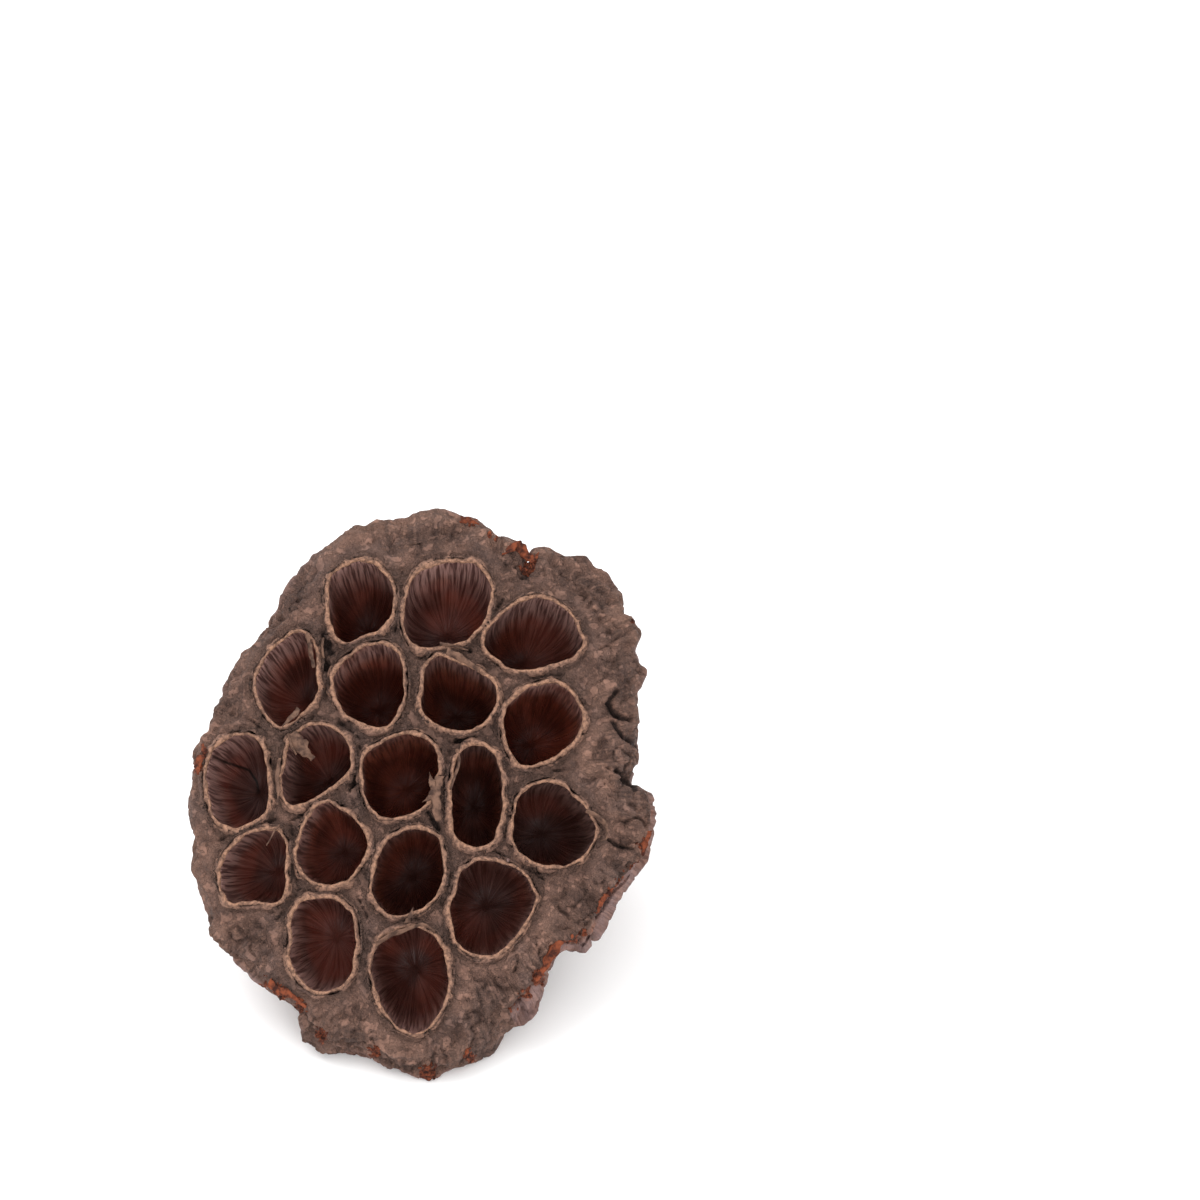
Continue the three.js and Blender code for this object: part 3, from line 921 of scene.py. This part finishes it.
def stub_fibres():
    """The shapes of the frayed fibres round the stub's torn end, by name."""
    chance = np.random.default_rng(11)
    shapes = {}
    for number in range(1, STUB_FIBRES + 1):
        turn = math.tau * (number + chance.uniform(-0.3, 0.3)) / STUB_FIBRES
        out = np.array([math.cos(turn), math.sin(turn), 0.0])
        side = (-math.sin(turn), math.cos(turn), 0.0)
        reach = chance.uniform(1.4, 3.0)
        foot = out * STUB_RADIUS * chance.uniform(0.55, 1.0) + (0.0, 0.0, STUB_LEVEL)
        tip = foot + out * chance.uniform(-0.3, 0.8) - (0.0, 0.0, reach)
        middle = (foot + tip) / 2 + out * 0.25
        shapes[f"torn_fibre_{number:02d}"] = ([foot, middle, tip], side, chance.uniform(0.6, 1.3), 0.85)
    return shapes


def held_to_skin(path):
    """A path drawn towards the skin."""
    return [np.array(point) * (1 - HELD_TO_SKIN) + nearest_skin(point) * HELD_TO_SKIN
            for point in path]


strip_shapes = {}
for name, (path, *shape) in STRIPS.items():
    strip_shapes[name] = (held_to_skin(path) if name.startswith("torn_") else path, *shape)
strip_shapes.update(stub_fibres())
strips = [bend_strip(name, *shape, seed)
          for seed, (name, shape) in enumerate(strip_shapes.items())]
print(len(strips), "strips of", len(strips[0].data.polygons), "faces")

# %% [markdown]
# ## Crumbs of torn tissue
#
# Where the rim is torn, the spongy tissue crumbles into small orange grains and splinters. One
# crumb is a coarse ball, pulled out of shape. Its copies are turned, sized and scattered by a
# seeded random generator, and lie in one mesh, because there are hundreds of them.

# %% Scatter the crumbs
CRUMBS_PER_SPOT = 14
EDGE_CRUMBS = 26


def crumb_form():
    """The vertices and faces of one crumb, about 1 mm across, round its middle."""
    deselect_all()
    bpy.ops.mesh.primitive_ico_sphere_add(subdivisions=1, radius=0.5)
    crumb = bpy.context.object
    points = vertices_of(crumb.data)
    faces = np.array([tuple(face.vertices) for face in crumb.data.polygons])
    points *= (1 + 0.5 * soft_noise(points * 2.3 + 4.0))[:, None]
    bpy.data.objects.remove(crumb)
    return points, faces


def random_turn(chance):
    """A rotation matrix of a random turn."""
    axes, _ = np.linalg.qr(chance.normal(size=(3, 3)))
    return axes * np.sign(np.linalg.det(axes))


def scatter_crumbs():
    """All crumbs as one object: in heaps at the torn spots, and in a row on the torn edge."""
    chance = np.random.default_rng(5)
    places = []
    for x, y, size in TORN_SPOTS:
        for across, along in chance.normal(size=(CRUMBS_PER_SPOT, 2)) * size * 0.42:
            places.append((x + across, y + along, -1.5))
    for share in chance.random(EDGE_CRUMBS) * (len(TORN_EDGE) - 1):
        first, rest = int(share), share % 1
        spot = np.array(TORN_EDGE[first]) * (1 - rest) + np.array(TORN_EDGE[first + 1]) * rest
        places.append((*(spot + chance.normal(size=2) * 0.35), -0.5))
    form_points, form_faces = crumb_form()
    points, faces = [], []
    for place in places:
        sizes = chance.uniform(0.3, 1.1) * np.array([1.0, *chance.uniform(0.3, 0.9, size=2)])
        spot = nearest_skin(place)
        if np.hypot(*(spot[:2] - place[:2])) > 1.5:
            continue
        faces.append(form_faces + len(points) * len(form_points))
        points.append((form_points * sizes) @ random_turn(chance) + spot)
    mesh = bpy.data.meshes.new("torn_crumbs")
    mesh.from_pydata(from_face(np.vstack(points)).tolist(), [], np.vstack(faces).tolist())
    crumbs = bpy.data.objects.new("torn_crumbs", mesh)
    bpy.context.scene.collection.objects.link(crumbs)
    print(len(points), "crumbs")
    return crumbs


crumbs = scatter_crumbs()

# %% [markdown]
# ## Painting with expressions
#
# A material is a network of nodes, and most of them do sums. A small class wraps a node's output
# so that sums can be written as sums: each operator adds the Math node that does it. Any other
# node comes from one method, which sets the node's settings first and then its inputs.

# %% Shader sums as expressions
class Field:
    """A socket of numbers that can be added, multiplied and so on in plain expressions."""

    def __init__(self, paint, socket):
        self.paint = paint
        self.socket = socket

    def __add__(self, other):
        return self.paint.math("ADD", self, other)

    def __radd__(self, other):
        return self.paint.math("ADD", other, self)

    def __sub__(self, other):
        return self.paint.math("SUBTRACT", self, other)

    def __rsub__(self, other):
        return self.paint.math("SUBTRACT", other, self)

    def __mul__(self, other):
        return self.paint.math("MULTIPLY", self, other)

    def __rmul__(self, other):
        return self.paint.math("MULTIPLY", other, self)


class Paint:
    """A material under construction, round its Principled shader."""

    def __init__(self, name):
        self.material = bpy.data.materials.new(name)
        self.material.use_nodes = True
        self.tree = self.material.node_tree
        self.shader = self.tree.nodes["Principled BSDF"]

    def node(self, kind, settings, inputs, output=0):
        """Adds a node: its settings first, then its inputs."""
        node = self.tree.nodes.new(kind)
        for name, value in settings.items():
            setattr(node, name, value)
        self.feed(node, inputs)
        return Field(self, node.outputs[output])

    def feed(self, node, inputs):
        """Links or sets the inputs of a node."""
        for name, value in inputs.items():
            if isinstance(value, Field):
                self.tree.links.new(value.socket, node.inputs[name])
            else:
                node.inputs[name].default_value = value

    def math(self, operation, *values):
        """A Math node on numbers and fields."""
        return self.node("ShaderNodeMath", {"operation": operation}, dict(enumerate(values)))

    def place(self):
        """The point of the surface, in metres in the row frame."""
        return self.node("ShaderNodeTexCoord", {}, {}, "Object")

    def attribute(self, name, output="Fac"):
        """An attribute of the piece's mesh: its number, or its vector."""
        return self.node("ShaderNodeAttribute", {"attribute_name": name}, {}, output)

    def noise(self, where, scale, detail=3.0, roughness=0.55, distortion=0.0):
        """Smooth noise from 0 to 1."""
        inputs = {"Vector": where, "Scale": scale, "Detail": detail,
                  "Roughness": roughness, "Distortion": distortion}
        return self.node("ShaderNodeTexNoise", {}, inputs, "Fac")

    def between(self, value, low, high):
        """0 under low, 1 over high and an even curve between."""
        settings = {"interpolation_type": "SMOOTHSTEP"}
        inputs = {"Value": value, "From Min": low, "From Max": high}
        return self.node("ShaderNodeMapRange", settings, inputs)

    def mix(self, share, first, second):
        """A blend of two colours."""
        first = first if isinstance(first, Field) else (*first, 1.0)
        second = second if isinstance(second, Field) else (*second, 1.0)
        settings = {"data_type": "RGBA"}
        return self.node("ShaderNodeMix", settings, {0: share, 6: first, 7: second}, 2)

    def bump(self, height, distance, strength=1.0, normal=None):
        """A normal that follows a height, for relief of a distance in metres."""
        inputs = {"Height": height, "Distance": distance, "Strength": strength}
        if normal is not None:
            inputs["Normal"] = normal
        return self.node("ShaderNodeBump", {}, inputs)


def tone(red, green, blue):
    """A screen colour from 0 to 255 as the linear colour that shaders use."""
    shares = [value / 255 for value in (red, green, blue)]
    return tuple(v / 12.92 if v <= 0.04045 else ((v + 0.055) / 1.055) ** 2.4 for v in shares)


print("screen grey 128 is", [round(value, 3) for value in tone(128, 128, 128)])

# %% [markdown]
# ## The finishes
#
# The skin is dry and matt: grey-brown on the face, purple-brown on the wall, with painted shade
# in its creases, fine folds and sunken places, and a painted highlight on what stands out. The
# linings are smooth and satin, dark chestnut inside with fine ribs that run to the bottom, and dry
# tan paper at the lip. A lilac-grey sheen near their mouths is painted, and the darker red towards
# the bottom is partly their own colour and partly painted shade.

# %% The skin's paint
def skin_paint():
    """Dry wrinkled skin, for the face and the wall."""
    paint = Paint("pod_skin")
    where = paint.place()
    wall = paint.attribute("wall")
    painted_crease_shade = paint.attribute("crease")
    from_lip = paint.attribute("from_lip")
    torn = paint.attribute("torn")
    grain = paint.attribute("grain", "Vector")
    patches = paint.noise(where, 160, 4, 0.6)
    mottle = paint.noise(where, 300, 6, 0.62)
    specks = paint.noise(where, 1900, 4, 0.6)
    streaks = paint.noise(grain, 1.0, 4, 0.6, 0.3)
    folds = paint.math("ABSOLUTE", paint.noise(where, 420, 6, 0.6) - 0.5)
    folds = paint.between(folds, 0.0, 0.11)
    rise = paint.attribute("rise")
    face = paint.mix(paint.between(mottle, 0.3, 0.7), tone(76, 52, 43), tone(132, 99, 85))
    face = paint.mix(paint.between(patches, 0.45, 0.7) * 0.5, face, tone(98, 78, 72))
    # Painted highlight: skin that stands higher is painted paler.
    face = paint.mix(paint.between(rise, 0.5, 0.85) * 0.3, face, tone(148, 112, 95))
    # Painted shade: sunken skin is painted darker.
    face = paint.mix(paint.between(0.5 - rise, 0.05, 0.35) * 0.42, face, tone(54, 39, 34))
    margin = paint.between(from_lip, 0.35, 0.9)
    face = paint.mix(margin * (1 - paint.between(streaks, 0.34, 0.5)) * 0.5, face, tone(58, 42, 36))
    face = paint.mix(margin * paint.between(streaks, 0.52, 0.68) * 0.3, face, tone(146, 112, 96))
    # Painted shade: the fine fold lines, which the bump sinks, are painted darker.
    face = paint.mix((1 - folds) * 0.3, face, tone(56, 40, 34))
    face = paint.mix(paint.between(specks, 0.54, 0.74) * 0.45, face, tone(140, 104, 84))
    face = paint.mix((1 - paint.between(from_lip, 0.2, 0.45)) * 0.4, face, tone(88, 67, 58))
    stub = paint.attribute("stub")
    side = paint.mix(paint.between(streaks, 0.35, 0.68), tone(80, 52, 43), tone(130, 96, 84))
    side = paint.mix(paint.between(patches, 0.36, 0.66) * 0.6, side, tone(130, 108, 106))
    side = paint.mix(paint.between(mottle, 0.58, 0.74) * 0.45, side, tone(150, 84, 52))
    torn_fibre = paint.mix(paint.between(streaks, 0.35, 0.65), tone(84, 48, 30), tone(158, 108, 72))
    side = paint.mix(stub, side, torn_fibre)
    colour = paint.mix(wall, face, side)
    # Painted shade: the creases of the face and the wall are painted dark brown.
    colour = paint.mix(paint.between(painted_crease_shade, 0.12, 0.75) * 0.85, colour, tone(38, 24, 20))
    raw = paint.mix(paint.between(specks, 0.35, 0.65), tone(48, 20, 12), tone(128, 64, 38))
    colour = paint.mix(paint.between(torn + mottle * 0.4, 0.4, 0.8), colour, raw)
    fine = specks * 0.25 + mottle * 0.5 + folds * 0.4
    height = (1 - wall) * fine + wall * (streaks * 0.8 + specks * 0.2)
    paint.feed(paint.shader, {
        "Base Color": colour,
        "Roughness": paint.between(mottle, 0.2, 0.8) * 0.15 + 0.72,
        "Normal": paint.bump(height, 0.0012, 1.0),
    })
    paint.feed(paint.shader, {"Specular IOR Level": 0.3})
    return paint.material


# %% The linings' paint
def lining_paint():
    """Satin chestnut skin inside a chamber, and dry paper at its lip."""
    paint = Paint("seed_chambers")
    where = paint.place()
    lip = paint.attribute("lip")
    depth = paint.attribute("depth")
    grain = paint.attribute("grain", "Vector")
    ribs_at = paint.node("ShaderNodeMapping", {}, {"Vector": grain, "Scale": (2.6, 2.6, 0.13)})
    ribs = paint.noise(ribs_at, 1.0, 2, 0.55, 0.3)
    clouds = paint.noise(where, 130, 3, 0.5)
    glow = paint.noise(where, 95, 2, 0.5)
    dust = paint.noise(where, 1500, 4, 0.65)
    grey = paint.attribute("grey")
    ribbed = paint.between(ribs, 0.38, 0.60)
    warm = paint.mix(paint.between(glow, 0.42, 0.62), tone(104, 48, 33), tone(140, 76, 56))
    wall = paint.mix(ribbed * 0.85 + 0.08, tone(60, 25, 17), warm)
    # Painted sheen: a ribbed lilac-grey reflection painted on the walls, most near the mouth.
    painted_sheen_tone = paint.mix(ribbed, tone(78, 55, 52), tone(156, 123, 116))
    shallow = 1 - paint.between(depth, 0.15, 0.8)
    painted_sheen_share = paint.between(clouds + grey * 0.6 + shallow * 0.35, 0.55, 1.15)
    wall = paint.mix(painted_sheen_share * 0.85, wall, painted_sheen_tone)
    # Darker and redder towards each chamber's bottom: partly the lining's own colour, partly painted
    # shade.
    deep = paint.mix(paint.between(glow, 0.42, 0.62), tone(56, 18, 10), tone(102, 42, 29))
    wall = paint.mix(paint.between(depth, 0.3, 0.9) * 0.75, wall, deep)
    wall = paint.mix(paint.attribute("shade"), wall, tone(26, 10, 6))
    wall = paint.mix(paint.attribute("crack"), wall, tone(22, 8, 5))
    paper = paint.mix(paint.between(dust, 0.35, 0.65), tone(96, 68, 53), tone(164, 122, 97))
    skin = paint.mix(paint.between(dust, 0.35, 0.65), tone(80, 56, 46), tone(122, 91, 78))
    worn = paint.between(clouds, 0.35, 0.6)
    paper = paint.mix(paint.attribute("slope") * 0.7 + (1 - worn) * 0.3, paper, skin)
    lip_share = paint.between(lip + dust * 0.5, 0.45, 0.95)
    height = ribs * (1 - lip) + dust * lip
    paint.feed(paint.shader, {
        "Base Color": paint.mix(lip_share, wall, paper),
        "Roughness": lip_share * 0.45 + 0.36,
        "Normal": paint.bump(height, 0.0005, 0.8),
    })
    paint.feed(paint.shader, {"Specular IOR Level": 0.45})
    return paint.material


# %% The paint of torn tissue
def torn_paint():
    """Crumbly orange-brown tissue."""
    paint = Paint("torn_tissue")
    where = paint.place()
    mottle = paint.noise(where, 900, 4, 0.6)
    colour = paint.mix(paint.between(mottle, 0.35, 0.65), tone(48, 21, 14), tone(118, 60, 37))
    paint.feed(paint.shader, {
        "Base Color": colour,
        "Roughness": 0.85,
        "Normal": paint.bump(mottle, 0.0004, 0.8),
        "Specular IOR Level": 0.2,
    })
    return paint.material


def strip_paint():
    """Dry papery tissue, tan with brown fibres."""
    paint = Paint("dry_paper")
    where = paint.place()
    mottle = paint.noise(where, 700, 4, 0.6)
    specks = paint.noise(where, 2200, 3, 0.6)
    colour = paint.mix(paint.between(mottle, 0.35, 0.65), tone(58, 39, 31), tone(108, 80, 65))
    colour = paint.mix(paint.between(specks, 0.6, 0.8) * 0.5, colour, tone(60, 40, 32))
    paint.feed(paint.shader, {
        "Base Color": colour,
        "Roughness": 0.8,
        "Normal": paint.bump(mottle, 0.0004, 0.8),
        "Specular IOR Level": 0.3,
    })
    return paint.material


# %% Dress the pieces
pod_body.data.materials.append(skin_paint())
chestnut = lining_paint()
for lining in linings:
    lining.data.materials.append(chestnut)
paper = strip_paint()
raw_tissue = torn_paint()
for strip in strips:
    strip.data.materials.append(raw_tissue if strip.name.startswith("torn_") else paper)
crumbs.data.materials.append(raw_tissue)

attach(pod_body, "root")
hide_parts("lotus_pod")
for lining in linings:
    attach(lining, "root")
for piece in [*strips, crumbs]:
    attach(piece, "root")
print(2 + len(linings) + len(strips), "pieces ride on the pod's one body")
